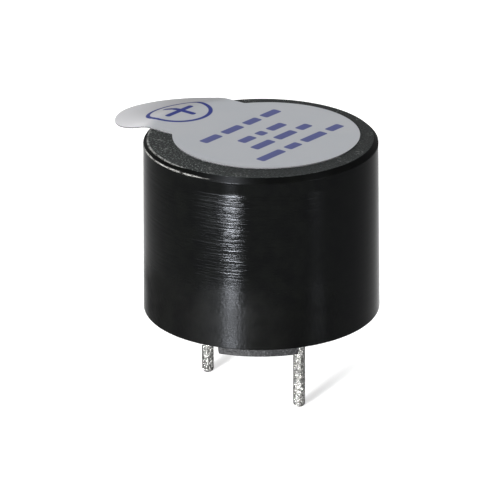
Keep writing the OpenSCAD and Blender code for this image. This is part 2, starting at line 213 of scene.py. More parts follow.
def apply_modifier(piece, kind, **settings):
    bpy.context.view_layer.objects.active = piece
    modifier = piece.modifiers.new(kind.lower(), kind)
    for name, value in settings.items():
        setattr(modifier, name, value)
    bpy.ops.object.modifier_apply(modifier=modifier.name)


def new_point(name, place):
    """Starts a piece as one vertex, in edit mode."""
    start_clean()
    bpy.ops.mesh.primitive_plane_add(size=1)
    piece = bpy.context.object
    piece.name = name
    edit_mode()
    select_all()
    bpy.ops.mesh.merge(type="CENTER")
    bpy.ops.transform.translate(value=place)
    return piece


def run_line(start, end):
    """Extrudes the selected vertex from start to end."""
    bpy.ops.mesh.extrude_region_move(TRANSFORM_OT_translate={"value": end - start})
    return end


def run_arc(start, centre, angle, steps):
    """Spins the selected vertex about an upright axis through the centre."""
    bpy.ops.mesh.spin(steps=steps, angle=-angle, center=centre, axis=(0, 0, 1))
    end = centre + Matrix.Rotation(angle, 3, "Z") @ (start - centre)
    if not pick_places([end]):
        raise RuntimeError("the arc ran the other way")
    return end


def join_ends(first, last):
    pick_places([first, last])
    bpy.ops.mesh.edge_face_add()


def turned(name, corners, rounded=()):
    """Draws a closed profile of (radius, height) corners and spins it about
    the upright axis through the origin. The corners whose numbers are in
    rounded get a small radius."""
    places = [Vector((r, 0, z)) for r, z in corners]
    piece = new_point(name, places[0])
    for before, after in zip(places, places[1:]):
        run_line(before, after)
    join_ends(places[0], places[-1])
    if rounded:
        pick_places([places[i] for i in rounded])
        bpy.ops.mesh.bevel(offset=EDGE_ROUND, segments=EDGE_STEPS, affect="VERTICES")
    select_all()
    bpy.ops.mesh.spin(steps=TURN_STEPS, angle=math.tau, center=(0, 0, 0), axis=(0, 0, 1))
    close_up()
    object_mode()
    return piece


def settle(piece, smooth=SMOOTH):
    """Scales a finished piece to metres, with its place in its mesh, and
    smooths every edge up to an angle in degrees."""
    start_clean()
    piece.select_set(True)
    bpy.context.view_layer.objects.active = piece
    bpy.ops.object.transform_apply(location=True, rotation=True, scale=True)
    piece.scale = (MM, MM, MM)
    bpy.ops.object.transform_apply(location=True, rotation=True, scale=True)
    bpy.ops.object.shade_smooth_by_angle(angle=math.radians(smooth))


def wear(piece, *materials):
    """Puts the materials on a piece, the first one on every face."""
    piece.data.materials.clear()
    for material in materials:
        piece.data.materials.append(material)


# ---- Material helpers ----

def feed(tree, socket, value):
    """Links a socket to another one, or sets it to a value."""
    if isinstance(value, bpy.types.NodeSocket):
        tree.links.new(value, socket)
    elif isinstance(value, tuple) and socket.type == "RGBA" and len(value) == 3:
        socket.default_value = (*value, 1)
    else:
        socket.default_value = value


def add(tree, kind, inputs=None, **settings):
    """Adds a node. Inputs are fed by name, and the rest are its own settings."""
    node = tree.nodes.new(kind)
    for name, value in settings.items():
        setattr(node, name, value)
    for name, value in (inputs or {}).items():
        feed(tree, node.inputs[name], value)
    return node


def calc(tree, operation, *values, clamp=False):
    node = add(tree, "ShaderNodeMath", operation=operation, use_clamp=clamp)
    for socket, value in zip(node.inputs, values):
        feed(tree, socket, value)
    return node.outputs[0]


def vector_calc(tree, operation, *values):
    node = add(tree, "ShaderNodeVectorMath", operation=operation)
    for socket, value in zip(node.inputs, values):
        feed(tree, socket, value)
    return node.outputs["Value" if operation in ("LENGTH", "DOT_PRODUCT") else "Vector"]


def step_up(tree, value, low, high, to_low=0.0, to_high=1.0):
    """A smooth step from to_low at low to to_high at high."""
    node = add(tree, "ShaderNodeMapRange", interpolation_type="SMOOTHSTEP")
    for socket, given in zip(node.inputs, (value, low, high, to_low, to_high)):
        feed(tree, socket, given)
    return node.outputs["Result"]


def scaled(tree, value, to_low, to_high):
    """Spreads a value from 0 to 1 between two others."""
    node = add(tree, "ShaderNodeMapRange")
    for socket, given in zip(node.inputs, (value, 0.0, 1.0, to_low, to_high)):
        feed(tree, socket, given)
    return node.outputs["Result"]


def blend_colours(tree, mask, first, second):
    node = add(tree, "ShaderNodeMix", data_type="RGBA")
    sockets = [s for s in node.inputs if s.enabled]
    for socket, given in zip(sockets, (mask, first, second)):
        feed(tree, socket, given)
    return next(s for s in node.outputs if s.enabled)


def noise(tree, place, scale, detail=2.0, roughness=0.5):
    inputs = {"Vector": place, "Scale": scale, "Detail": detail, "Roughness": roughness}
    return add(tree, "ShaderNodeTexNoise", inputs).outputs["Fac"]


def split(tree, vector):
    return add(tree, "ShaderNodeSeparateXYZ", {"Vector": vector}).outputs


def millimetres(tree):
    """The place on the piece, in millimetres from the frame's origin."""
    place = add(tree, "ShaderNodeTexCoord").outputs["Object"]
    mapping = add(tree, "ShaderNodeMapping", {"Vector": place, "Scale": (1 / MM,) * 3})
    return mapping.outputs["Vector"]


def from_axis(tree):
    """The place on the piece, in millimetres from the foot of the case's axis."""
    return vector_calc(tree, "SUBTRACT", millimetres(tree), tuple(AXIS))


def flattened(tree, place):
    return vector_calc(tree, "MULTIPLY", place, (1, 1, 0))


def flat_distance(tree, place):
    """How far a place is from the upright axis."""
    return vector_calc(tree, "LENGTH", flattened(tree, place))


def flat_facing(tree, place, side):
    """How nearly a place lies on one side of the axis, from -1 to 1."""
    outwards = vector_calc(tree, "NORMALIZE", flattened(tree, place))
    return vector_calc(tree, "DOT_PRODUCT", outwards, side)


def bump(tree, height, depth_mm):
    """A bump whose height from 0 to 1 stands for a depth in millimetres."""
    inputs = {"Height": height, "Distance": depth_mm * MM, "Strength": 1.0}
    return add(tree, "ShaderNodeBump", inputs).outputs["Normal"]


def new_material(name, **constants):
    """A Principled material. Constants are set on the shader's own sockets."""
    material = bpy.data.materials.new(name)
    material.use_nodes = True
    tree = material.node_tree
    shader = next(n for n in tree.nodes if n.type == "BSDF_PRINCIPLED")
    for socket, value in constants.items():
        feed(tree, shader.inputs[socket.replace("_", " ")], value)
    return material, tree, shader


def new_group(name, inputs, outputs):
    """A shader node group with named sockets, and its input and output nodes."""
    group = bpy.data.node_groups.new(name, "ShaderNodeTree")
    for label, default in inputs.items():
        kind = "NodeSocketVector" if default is None else "NodeSocketFloat"
        socket = group.interface.new_socket(name=label, in_out="INPUT", socket_type=kind)
        if default is not None:
            socket.default_value = default
    for label in outputs:
        group.interface.new_socket(name=label, in_out="OUTPUT", socket_type="NodeSocketFloat")
    source = add(group, "NodeGroupInput").outputs
    sink = add(group, "NodeGroupOutput").inputs
    return group, source, sink


def use_group(tree, group, **inputs):
    """Puts a group in a tree, fed by name, and gives its outputs."""
    node = add(tree, "ShaderNodeGroup", node_tree=group)
    for label, value in inputs.items():
        feed(tree, node.inputs[label.replace("_", " ")], value)
    return node.outputs


# ---- Shared effects ----

def make_grain():
    """Fine even grain, with bright specks where it stands highest."""
    group, source, sink = new_group(
        "grain", {"Place": None, "Size": 0.05, "Speck Level": 0.62}, ("Height", "Specks"))
    speck_fade = 0.08
    scale = calc(group, "DIVIDE", 1.0, source["Size"])
    height = noise(group, source["Place"], scale, detail=3)
    full = calc(group, "ADD", source["Speck Level"], speck_fade)
    feed(group, sink["Height"], height)
    feed(group, sink["Specks"], step_up(group, height, source["Speck Level"], full))
    return group


def make_rings():
    """Faint marks that run round an upright axis, of a given pitch and run."""
    group, source, sink = new_group("rings", {"Place": None, "Pitch": 0.05, "Run": 3.0}, ("Height",))
    x, y, z = split(group, source["Place"])
    stretched = add(group, "ShaderNodeCombineXYZ", {
        "X": calc(group, "DIVIDE", x, source["Run"]),
        "Y": calc(group, "DIVIDE", y, source["Run"]),
        "Z": calc(group, "DIVIDE", z, source["Pitch"])}).outputs["Vector"]
    feed(group, sink["Height"], noise(group, stretched, 1.0, detail=3, roughness=0.6))
    return group


def make_mottle():
    """Soft patches, from 0 to 1, for uneven colour or gloss, and a finer noise."""
    group, source, sink = new_group(
        "mottle", {"Place": None, "Size": 0.5, "Edge": 0.15}, ("Patches", "Fine"))
    finer = 6.0
    scale = calc(group, "DIVIDE", 1.0, source["Size"])
    value = noise(group, source["Place"], scale, detail=4, roughness=0.6)
    low = calc(group, "SUBTRACT", 0.5, source["Edge"])
    high = calc(group, "ADD", 0.5, source["Edge"])
    fine = noise(group, source["Place"], calc(group, "MULTIPLY", scale, finer))
    feed(group, sink["Patches"], step_up(group, value, low, high))
    feed(group, sink["Fine"], fine)
    return group


def make_scuffs():
    """Short pale rub marks, strewn where a broad noise lets them show."""
    group, source, sink = new_group(
        "scuffs", {"Place": None, "Size": 0.3, "Cover": 0.5}, ("Marks",))
    finer = 5.0
    cover_fade = 0.15
    marks_from = 0.5
    marks_full = 0.68
    scale = calc(group, "DIVIDE", 1.0, source["Size"])
    fine_scale = calc(group, "MULTIPLY", scale, finer)
    fine = noise(group, source["Place"], fine_scale, detail=4, roughness=0.7)
    broad = noise(group, source["Place"], scale, detail=1)
    full = calc(group, "ADD", source["Cover"], cover_fade)
    shown = step_up(group, broad, source["Cover"], full)
    marks = step_up(group, fine, marks_from, marks_full)
    feed(group, sink["Marks"], calc(group, "MULTIPLY", shown, marks))
    return group


def make_bar():
    """A bar with round corners, on flat coordinates. Its edge is a little soft."""
    inputs = {"Across": 0, "Along": 0, "Mid Across": 0, "Mid Along": 0,
              "Half Across": 1, "Half Along": 1, "Round": 0.1, "Soft": 0.03}
    group, source, sink = new_group("bar", inputs, ("Mask",))
    past = []
    for axis in ("Across", "Along"):
        off = calc(group, "SUBTRACT", source[axis], source["Mid " + axis])
        core = calc(group, "SUBTRACT", source["Half " + axis], source["Round"])
        beyond = calc(group, "SUBTRACT", calc(group, "ABSOLUTE", off), core)
        past.append(calc(group, "MAXIMUM", beyond, 0.0))
    corner = add(group, "ShaderNodeCombineXYZ", {"X": past[0], "Y": past[1]}).outputs["Vector"]
    outside = calc(group, "SUBTRACT", vector_calc(group, "LENGTH", corner), source["Round"])
    inner_edge = calc(group, "MULTIPLY", source["Soft"], -1.0)
    feed(group, sink["Mask"], step_up(group, outside, source["Soft"], inner_edge))
    return group


def make_edge_highlight():
    """A thin painted highlight along a round edge, broken up, on one side of it."""
    inputs = {"Place": None, "Edge Radius": 5.0, "Edge Height": 9.0, "Width": 0.06,
              "Towards": None, "Spread": 0.8}
    group, source, sink = new_group("painted_edge_highlight", inputs, ("Mask",))
    ragged_by = 0.06
    ragged_scale = 6.0
    side_fade = 0.2
    core = 0.3              # the part of the line's width where the painted highlight is at full strength
    break_scale = 3.0
    breaks = (0.40, 0.58)   # a noise that breaks the line, from none of it to all of it
    place = source["Place"]
    out = calc(group, "SUBTRACT", flat_distance(group, place), source["Edge Radius"])
    up = calc(group, "SUBTRACT", split(group, place)["Z"], source["Edge Height"])
    both = add(group, "ShaderNodeCombineXYZ", {"X": out, "Y": up}).outputs["Vector"]
    ragged = scaled(group, noise(group, place, ragged_scale, detail=3), -ragged_by, ragged_by)
    away = calc(group, "ADD", vector_calc(group, "LENGTH", both), ragged)
    full = calc(group, "ADD", source["Spread"], side_fade)
    side = step_up(group, flat_facing(group, place, source["Towards"]), source["Spread"], full)
    width = calc(group, "MULTIPLY", source["Width"], side)
    line = step_up(group, away, width, calc(group, "MULTIPLY", width, core))
    breaking = noise(group, place, break_scale, detail=5, roughness=0.8)
    unbroken = step_up(group, breaking, *breaks)
    mask = calc(group, "MULTIPLY", line, calc(group, "MULTIPLY", side, unbroken))
    feed(group, sink["Mask"], mask)
    return group


grain = make_grain()
rings = make_rings()
mottle = make_mottle()
scuffs = make_scuffs()
bar = make_bar()
painted_edge_highlight = make_edge_highlight()


# ---- Case ----

# Sides of the case, as directions from its axis: where the chamfer's lower edge
# gets a painted highlight line, where its upper edge does, and where the wall is marked.
HIGHLIGHT_SIDE = (-0.27, -0.96, 0.0)
HIGHLIGHT_CORNER = (-0.58, -0.81, 0.0)
MARKED_SIDE = (0.41, -0.91, 0.0)

# Painted highlight lines on the chamfer's edges: the lower one's width on each face, how much wider the
# upper one is, and how nearly a place must face the highlighted side for each to start.
HIGHLIGHT_ON_WALL = 0.065
HIGHLIGHT_ON_TOP = 0.06
UPPER_WIDER = 1.3
LOWER_SPREAD = 0.74
UPPER_SPREAD = 0.70

# Wall: its specular level is low, so that it stays dark where it is seen at a
# slant, and a tint above 1 raises only what it reflects head on.
WALL_LEVEL = 0.013
WALL_TINT = (4.1, 4.3, 4.7, 1.0)
WALL_BLACK = (0.0002, 0.0002, 0.0002)
WALL_GRAIN = (0.0005, 0.0005, 0.0005)
WALL_SMEAR = (0.0009, 0.0010, 0.0008)
# colour of the painted highlight lines along the chamfer's edges
WALL_EDGE_HIGHLIGHT = (0.12, 0.12, 0.115)

# Wall zones. The first number of a pair is where a zone starts to show, and the
# second is where it shows in full: a height, or how nearly a place faces the
# marked side.
ZONE_RAGGED = 0.25                  # how far the heights wander up and down
MARKED_HEIGHTS = (8.78, 8.66)
SMEARED_HEIGHTS = (4.8, 2.4)
GREASY_HEIGHTS = (4.4, 2.4)
MARKED_FACING = (0.55, 0.95)
SMEARED_FACING = (0.35, 0.7)
GREASY_FACING = (0.75, 0.98)
MARKS_AWAY = 0.2                    # depth of the marks on the other sides
MARKS_IN_SMEAR = 0.12               # and where the smear covers them

# Wall gloss
GLOSSY_ROUGH = 0.08
MARKED_ROUGH = 0.15
SMEAR_ROUGHER = (0.22, 0.34)
GREASE_ROUGH = 0.36
GREASE_WEIGHT = (0.04, 0.10)
CHAMFER_ROUGH = 0.6
CHAMFER_FADE = (CHAMFER_Z - 0.12, CHAMFER_Z - 0.04)

# Wall relief, whose parts are shares of its depth in millimetres
WALL_DEPTH = 0.03
GRAIN_SHARE = 0.04
MARKS_MEAN = 0.52                   # taken off, so that the marks' zone has no step
SMEAR_SHARE = 0.28

# Top face: more of its pale specks show where it faces the highlighted side, and its rubbed marks share
# their pale colour with its painted edge highlight.
TOP_LEVEL = 0.08
TOP_DARK = (0.003, 0.004, 0.004)
TOP_LIGHT = (0.025, 0.028, 0.028)
TOP_SPECK = (0.11, 0.12, 0.115)
# pale colour of the rubbed marks and of the painted edge highlight
TOP_WORN_AND_HIGHLIGHT = (0.15, 0.155, 0.15)
TOP_ROUGH = (0.5, 0.75)
SPECKLED_FACING = (0.1, 0.5)
SPECKS_FROM = (0.68, 0.565)         # away from the highlighted side, and facing it

# Rim, feet and inside
MATT_LEVEL = 0.1
MATT_DARK = (0.004, 0.004, 0.0045)
MATT_LIGHT = (0.013, 0.0135, 0.014)
MATT_SPECK = (0.03, 0.03, 0.032)
MATT_ROUGH = (0.45, 0.65)

GRAIN_SIZE = 0.1
GRAIN_DEPTH = 0.03
GRAIN_RANGE = (0.34, 0.66)          # the grain's heights that go from dark to light


def edge_highlights(tree, place, width):
    """The painted highlight lines along both edges of the top chamfer."""
    lower = use_group(tree, painted_edge_highlight, Place=place, Edge_Radius=WALL_TOP_R, Edge_Height=CHAMFER_Z,
                      Width=width, Towards=HIGHLIGHT_SIDE, Spread=LOWER_SPREAD)
    upper = use_group(tree, painted_edge_highlight, Place=place, Edge_Radius=TOP_R, Edge_Height=TOP_Z,
                      Width=width * UPPER_WIDER, Towards=HIGHLIGHT_CORNER, Spread=UPPER_SPREAD)
    return calc(tree, "MAXIMUM", lower["Mask"], upper["Mask"])


def wall_zones(tree, place):
    """How much the wall is marked at all, smeared and greasy, and how deep its
    marks are, each from 0 to 1."""
    bands = use_group(tree, rings, Place=place, Pitch=0.6, Run=3.0)
    wander = scaled(tree, bands["Height"], -ZONE_RAGGED, ZONE_RAGGED)
    height = calc(tree, "ADD", split(tree, place)["Z"], wander)
    side = flat_facing(tree, place, MARKED_SIDE)
    marked = step_up(tree, height, *MARKED_HEIGHTS)
    smeared = calc(tree, "MULTIPLY", step_up(tree, height, *SMEARED_HEIGHTS),
                   step_up(tree, side, *SMEARED_FACING))
    greasy = calc(tree, "MULTIPLY", step_up(tree, height, *GREASY_HEIGHTS),
                  step_up(tree, side, *GREASY_FACING))
    depth = calc(tree, "MULTIPLY", marked, scaled(tree, smeared, 1.0, MARKS_IN_SMEAR))
    depth = calc(tree, "MULTIPLY", depth, step_up(tree, side, *MARKED_FACING, MARKS_AWAY, 1.0))
    return marked, smeared, greasy, depth


def case_side():
    """Polished black moulding. A band below the top edge is still glossy. Below
    it fine marks run round the wall, and low down a smear covers them."""
    material, tree, shader = new_material(
        "case_side", Specular_IOR_Level=WALL_LEVEL, Specular_Tint=WALL_TINT,
        Anisotropic=1.0, Anisotropic_Rotation=0.25, Coat_Roughness=GREASE_ROUGH)
    tangent = add(tree, "ShaderNodeTangent", direction_type="RADIAL", axis="Z")
    feed(tree, shader.inputs["Tangent"], tangent.outputs["Tangent"])
    place = from_axis(tree)
    hairs = use_group(tree, rings, Place=place, Pitch=0.12, Run=3.2)
    fine = use_group(tree, grain, Place=place, Size=0.07)
    smear = use_group(tree, mottle, Place=place, Size=0.7, Edge=0.3)
    cloudy = use_group(tree, mottle, Place=place, Size=1.1, Edge=0.2)
    marked, smeared, greasy, depth = wall_zones(tree, place)

    colour = blend_colours(tree, fine["Height"], WALL_BLACK, WALL_GRAIN)
    colour = blend_colours(tree, smear["Patches"], colour, WALL_SMEAR)
    # Painted highlight lines along the chamfer's edges.
    colour = blend_colours(tree, edge_highlights(tree, place, HIGHLIGHT_ON_WALL), colour, WALL_EDGE_HIGHLIGHT)
    feed(tree, shader.inputs["Base Color"], colour)

    clouds = calc(tree, "MULTIPLY", smeared, scaled(tree, cloudy["Patches"], *SMEAR_ROUGHER))
    rough = calc(tree, "ADD", scaled(tree, marked, GLOSSY_ROUGH, MARKED_ROUGH), clouds)
    chamfer = step_up(tree, split(tree, place)["Z"], *CHAMFER_FADE)
    rough = calc(tree, "MAXIMUM", rough, calc(tree, "MULTIPLY", chamfer, CHAMFER_ROUGH))
    feed(tree, shader.inputs["Roughness"], rough)
    grease = calc(tree, "MULTIPLY", greasy, scaled(tree, cloudy["Patches"], *GREASE_WEIGHT))
    feed(tree, shader.inputs["Coat Weight"], grease)

    marks = calc(tree, "ADD", hairs["Height"], calc(tree, "MULTIPLY", fine["Height"], GRAIN_SHARE))
    marks = calc(tree, "MULTIPLY", calc(tree, "SUBTRACT", marks, MARKS_MEAN), depth)
    uneven = calc(tree, "MULTIPLY", calc(tree, "SUBTRACT", cloudy["Fine"], 0.5), smeared)
    relief = calc(tree, "ADD", marks, calc(tree, "MULTIPLY", uneven, SMEAR_SHARE))
    feed(tree, shader.inputs["Normal"], bump(tree, relief, WALL_DEPTH))
    return material


def case_top():
    """Matt top face, with fine grain, pale specks, a few rubbed places and a painted highlight along
    its edge.
    """
    material, tree, shader = new_material("case_top", Specular_IOR_Level=TOP_LEVEL)
    place = from_axis(tree)
    facing = vector_calc(tree, "DOT_PRODUCT", vector_calc(tree, "NORMALIZE", place), HIGHLIGHT_SIDE)
    specks_from = scaled(tree, step_up(tree, facing, *SPECKLED_FACING), *SPECKS_FROM)
    fine = use_group(tree, grain, Place=place, Size=GRAIN_SIZE, Speck_Level=specks_from)
    rubbed = use_group(tree, scuffs, Place=place, Size=0.8, Cover=0.56)
    colour = blend_colours(tree, step_up(tree, fine["Height"], *GRAIN_RANGE), TOP_DARK, TOP_LIGHT)
    colour = blend_colours(tree, fine["Specks"], colour, TOP_SPECK)
    # Rubbed marks, and painted highlight lines along the chamfer's edges, in one pale colour.
    scuffs_and_edge_highlight = calc(tree, "MAXIMUM", rubbed["Marks"], edge_highlights(tree, place, HIGHLIGHT_ON_TOP))
    colour = blend_colours(tree, scuffs_and_edge_highlight, colour, TOP_WORN_AND_HIGHLIGHT)
    feed(tree, shader.inputs["Base Color"], colour)
    feed(tree, shader.inputs["Roughness"], scaled(tree, fine["Height"], *TOP_ROUGH))
    feed(tree, shader.inputs["Normal"], bump(tree, fine["Height"], GRAIN_DEPTH))
    return material


def case_matt():
    """The rim, the feet and the inside, as they come out of the mould."""
    material, tree, shader = new_material("case_matt", Specular_IOR_Level=MATT_LEVEL)
    fine = use_group(tree, grain, Place=millimetres(tree), Size=GRAIN_SIZE, Speck_Level=0.60)
    colour = blend_colours(tree, step_up(tree, fine["Height"], *GRAIN_RANGE), MATT_DARK, MATT_LIGHT)
    colour = blend_colours(tree, fine["Specks"], colour, MATT_SPECK)
    feed(tree, shader.inputs["Base Color"], colour)
    feed(tree, shader.inputs["Roughness"], scaled(tree, fine["Height"], *MATT_ROUGH))
    feed(tree, shader.inputs["Normal"], bump(tree, fine["Height"], GRAIN_DEPTH))
    return material


def make_foot():
    """A short curved block on +X that follows the rim, with round lower corners."""
    depth = FOOT_OUTER_R - FOOT_INNER_R
    height = RIM_Z + FOOT_ROOT
    middle = ((FOOT_OUTER_R + FOOT_INNER_R) / 2, 0, height / 2)
    half_turn = math.asin(FOOT_W / 2 / FOOT_INNER_R) + FOOT_LAP
    turn_back = Matrix.Rotation(half_turn, 3, "Z")
    start_clean()
    bpy.ops.mesh.primitive_plane_add(size=1)
    foot = bpy.context.object
    foot.name = "foot"
    edit_mode()
    bpy.ops.transform.resize(value=(depth, height, 1), center_override=(0, 0, 0))
    bpy.ops.transform.rotate(value=math.pi / 2, orient_axis="X", center_override=(0, 0, 0))
    bpy.ops.transform.translate(value=middle)
    move_points(lambda place: turn_back @ place)
    select_all()
    bpy.ops.mesh.spin(steps=FOOT_STEPS, angle=2 * half_turn, center=(0, 0, 0), axis=(0, 0, 1))
    for side in (-1, 1):
        select_all()
        bpy.ops.mesh.bisect(plane_co=(0, side * FOOT_W / 2, 0), plane_no=(0, side, 0),
                            use_fill=True, clear_outer=True)
    close_up()

    def is_lower_corner(edge):
        return all(v.co.z < MERGE and abs(abs(v.co.y) - FOOT_W / 2) < MERGE for v in edge.verts)

    pick("EDGE", is_lower_corner)
    bpy.ops.mesh.bevel(offset=FOOT_CORNER_R, segments=FOOT_CORNER_STEPS, affect="EDGES")
    object_mode()
    return foot


def finish_case(case):
    """Gives the wall, the top face and the rest of the case their finishes."""
    wear(case, case_side(), case_top(), case_matt())
    wall, top, matt = range(3)
    for face in case.data.polygons:
        middle = face.center / MM - AXIS
        far = middle.xy.length
        on_wall = far > WALL_TOP_R - EDGE_ROUND or middle.z > CHAMFER_Z
        face.material_index = wall
        if middle.z > TOP_Z - EDGE_ROUND / 4 and far < TOP_R:
            face.material_index = top
        elif middle.z < RIM_Z + MERGE or not on_wall:
            face.material_index = matt


def make_case():
    corners = [
        (SOUND_HOLE_R, TOP_Z), (TOP_R, TOP_Z), (WALL_TOP_R, CHAMFER_Z),
        (CASE_R, RIM_Z + RIM_CHAMFER), (CASE_R - RIM_CHAMFER, RIM_Z),
        (BORE_R, RIM_Z), (BORE_R, LEDGE_Z), (BENDER_BORE_R, LEDGE_Z),
        (BENDER_BORE_R, SEAT_Z), (SEAT_R, SEAT_Z), (SEAT_R, CEILING_Z),
        (SOUND_HOLE_R, CEILING_Z),
    ]
    outer_corners = range(6)
    case = turned("case_shell", corners, rounded=outer_corners)
    foot = make_foot()
    for turn in FOOT_TURNS:
        foot.rotation_euler.z = math.radians(turn)
        apply_modifier(case, "BOOLEAN", operation="UNION", solver="EXACT", object=foot)
    bpy.data.objects.remove(foot)
    case.location = AXIS
    settle(case)
    finish_case(case)
    return case


# ---- Seal film ----

def tab_outline():
    """Draws the film's outline flat, with the tab along +X and the disc's
    middle at the origin, and fills it."""
    half = TAB_W / 2
    flank_r = (TAB_ROUND ** 2 + half ** 2 - 2 * TAB_ROUND * TAB_NOSE_R) / (2 * (half - TAB_NOSE_R))
    nose_run = TAB_ROUND - TAB_NOSE_R
    meet = math.atan2(flank_r - half, nose_run)
    flank_turn = math.pi / 2 - meet
    end = TAB_L - TAB_ROUND
    lean = math.asin(half / DISC_R)
    first = Vector((DISC_R * math.cos(lean), half, 0))
    film = new_point("seal_film", first)
    lower = run_arc(first, Vector((0, 0, 0)), math.tau - 2 * lean, DISC_STEPS)
    place = run_line(lower, Vector((end, -half, 0)))
    place = run_arc(place, Vector((end, flank_r - half, 0)), flank_turn, FLANK_STEPS)
    place = run_arc(place, Vector((end + nose_run, 0, 0)), 2 * meet, NOSE_STEPS)
    place = run_arc(place, Vector((end, half - flank_r, 0)), flank_turn, FLANK_STEPS)
    join_ends(first, place)
    cut = TAB_FILLET / math.tan((math.pi / 2 + lean) / 2)
    pick_places([first, lower])
    bpy.ops.mesh.bevel(offset=cut, segments=FILLET_STEPS, affect="VERTICES")
    select_all()
    bpy.ops.mesh.edge_face_add()
    return film


def cut_rows(low, high, direction):
    """Bisects the edited film across one direction, at the film's pitch."""
    for i in range(1, int((high - low) / FILM_PITCH)):
        place = [(low + i * FILM_PITCH) * d for d in direction]
        select_all()
        bpy.ops.mesh.bisect(plane_co=place, plane_no=direction)


def droop(place):
    """Lets the film fall past the edge of the case's top."""
    axis = Vector((-FILM_X, -FILM_Y, 0))
    axis.rotate(Matrix.Rotation(-TAB_TURN, 3, "Z"))
    past = max(0, (place - axis).xy.length - TOP_R)
    if past < TAB_BEND:
        past = past ** 2 / (2 * TAB_BEND)
    else:
        past -= TAB_BEND / 2
    fall = past * (TAB_DROOP + TAB_CURL * past + TAB_TWIST * place.y)
    return place - Vector((0, 0, fall))


def make_film():
    film = tab_outline()
    cut_rows(-DISC_R, TAB_L, (1, 0, 0))
    cut_rows(-DISC_R, DISC_R, (0, 1, 0))
    move_points(droop)
    close_up()
    object_mode()
    wear(film, film_face(), shaded_film_edge())
    apply_modifier(film, "SOLIDIFY", thickness=FILM_T, offset=1, material_offset_rim=1)
    apply_modifier(film, "BEVEL", width=FILM_EDGE_R, segments=FILM_EDGE_STEPS,
                   limit_method="ANGLE", material=1)
    film.rotation_euler.z = TAB_TURN
    film.location = AXIS + Vector((FILM_X, FILM_Y, TOP_Z))
    settle(film, smooth=FILM_SMOOTH)
    return film


# Printed marks, in millimetres on flat coordinates: along the tab from the
# disc's middle, and across it. Each of the sign's bars is (middle across,
# middle along, half across, half along), and each row, named by its place along
# the tab, is the ends of its bars across.
SIGN_ACROSS = 0.06
SIGN_ALONG = 5.67
SIGN_R = 1.6
STROKE = 0.11               # half the width of the sign's ring
SIGN_BARS = ((-0.04, 5.75, 0.155, 1.05), (0.1, 5.63, 1.0, 0.155))
PRINT_ROWS = {
    1.77: ((-3.1, -1.9), (-1.55, -0.5), (-0.15, 1.2), (1.55, 2.85)),
    0.3: ((-1.75, -0.6), (-0.25, 0.3), (0.65, 1.65)),
    -0.79: ((-2.45, -1.6), (-1.25, 0.15), (0.5, 1.95)),
    -2.07: ((-3.4, -2.4), (-2.05, -0.4), (-0.05, 0.9), (1.25, 3.05)),
}
ROW_HALF = 0.27
SIGN_INK = 1.0
ROW_INK = 0.85              # how well the rows took the ink
BAR_ROUND = 0.12
PRINT_SOFT = 0.03

# Milky film: greyer over the dark case, and lighter where it hangs free, which is painted light shining
# through it.
FILM_LEVEL = 0.06
FILM_ROUGH = 0.6
FILM_OVER_CASE = ((0.39, 0.405, 0.43), (0.41, 0.42, 0.44))
FILM_FREE_BACKLIT = (0.52, 0.52, 0.535)
FREE_PAST = (TOP_R - 0.15, CASE_R + 0.3)
FILM_DEPTH = 0.004
INK = ((0.02, 0.03, 0.16), (0.03, 0.04, 0.21))
FILM_EDGE_LEVEL = 0.05
# the cut edge near black: painted shade
FILM_EDGE_SHADE = ((0.03, 0.03, 0.032), (0.05, 0.05, 0.053))


def flat_on_film(tree):
    """The place on the film, along the tab and across it."""
    place = add(tree, "ShaderNodeTexCoord").outputs["Object"]
    middle = (AXIS + Vector((FILM_X, FILM_Y, 0))) * MM
    flat = add(tree, "ShaderNodeMapping", vector_type="TEXTURE", inputs={
        "Vector": place, "Location": tuple(middle), "Rotation": (0, 0, TAB_TURN), "Scale": (MM,) * 3})
    along, across, _ = split(tree, flat.outputs["Vector"])
    return along, across


def print_ring(tree, along, across):
    """The mask of the sign's ring."""
    offset = add(tree, "ShaderNodeCombineXYZ", {
        "X": calc(tree, "SUBTRACT", along, SIGN_ALONG),
        "Y": calc(tree, "SUBTRACT", across, SIGN_ACROSS)}).outputs["Vector"]
    away = calc(tree, "SUBTRACT", vector_calc(tree, "LENGTH", offset), SIGN_R)
    away = calc(tree, "ABSOLUTE", away)
    return step_up(tree, away, STROKE + PRINT_SOFT, STROKE - PRINT_SOFT)


def film_print(tree):
    """The mask of all that is printed on the film."""
    along, across = flat_on_film(tree)
    mask = print_ring(tree, along, across)
    bars = [(*bar_size, SIGN_INK) for bar_size in SIGN_BARS]
    for row, ends in PRINT_ROWS.items():
        bars += [((a + b) / 2, row, (b - a) / 2, ROW_HALF, ROW_INK) for a, b in ends]
    for mid_across, mid_along, half_across, half_along, ink in bars:
        one = use_group(tree, bar, Across=across, Along=along, Mid_Across=mid_across,
                        Mid_Along=mid_along, Half_Across=half_across, Half_Along=half_along,
                        Round=min(half_across, half_along, BAR_ROUND), Soft=PRINT_SOFT)
        mask = calc(tree, "MAXIMUM", mask, calc(tree, "MULTIPLY", one["Mask"], ink))
    return mask


def film_face():
    """The film's two faces, with the print, and painted light shining through where the film hangs
    free.
    """
    material, tree, shader = new_material(
        "film_face", Specular_IOR_Level=FILM_LEVEL, Roughness=FILM_ROUGH)
    place = from_axis(tree)
    patches = use_group(tree, mottle, Place=place, Size=2.5, Edge=0.3)
    over_case = blend_colours(tree, patches["Patches"], *FILM_OVER_CASE)
    # Lighter where it hangs free: painted light shining through the film.
    backlit_free_part = step_up(tree, flat_distance(tree, place), *FREE_PAST)
    milky = blend_colours(tree, backlit_free_part, over_case, FILM_FREE_BACKLIT)
    ink = blend_colours(tree, patches["Fine"], *INK)
    feed(tree, shader.inputs["Base Color"], blend_colours(tree, film_print(tree), milky, ink))
    feed(tree, shader.inputs["Normal"], bump(tree, patches["Fine"], FILM_DEPTH))
    return material


